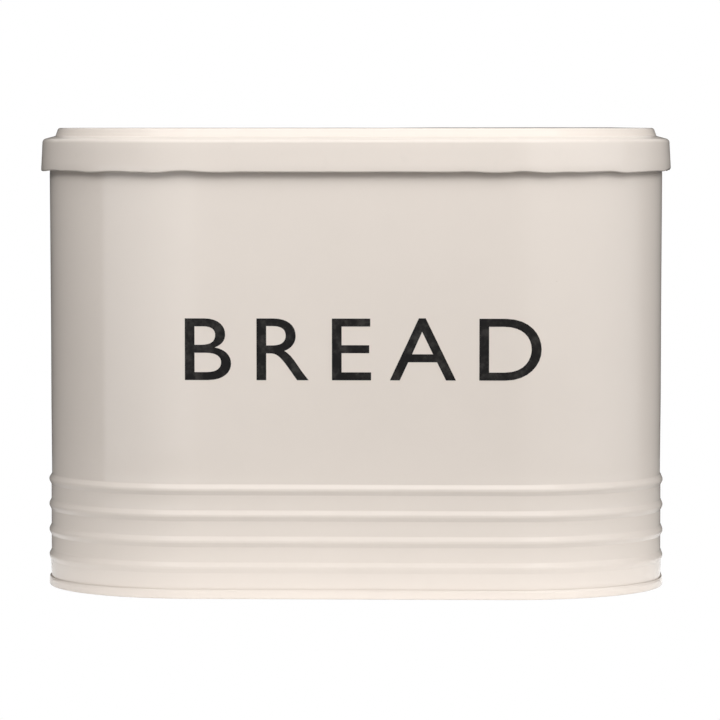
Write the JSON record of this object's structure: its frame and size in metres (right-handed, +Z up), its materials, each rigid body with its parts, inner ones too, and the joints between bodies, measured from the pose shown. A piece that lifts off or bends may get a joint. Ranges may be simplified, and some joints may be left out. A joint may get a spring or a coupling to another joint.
{
  "type": "bread bin",
  "caption": "Free-standing sheet-steel bread bin with rounded corners, raised beads round its foot, a curled rim and a lift-off lid with a raised top.",
  "frame": {"origin": "on the surface the bin stands on, under the middle of the bin", "axes": "+X along the bin's longer side, to the right when facing its front; +Y from its front to its back; +Z up"},
  "size_m": [0.3306, 0.2056, 0.24],
  "materials": {
    "cream_paint": "warm off-white powder coat, semi-gloss",
    "rim_wire_steel": "drawn wire, zinc-plated",
    "print_ink": "satin screen-printing ink, near black"
  },
  "bodies": {
    "bin": {"body_wall": "cream_paint", "base_pan": "cream_paint", "rim_wire": "rim_wire_steel"},
    "lid": {"lid_pressing": "cream_paint"}
  },
  "joints": [
    {"name": "lid_lift", "type": "slide", "parent": "bin", "child": "lid", "axis": [0, 0, 1], "range_m": [0, 0.2]}
  ]
}
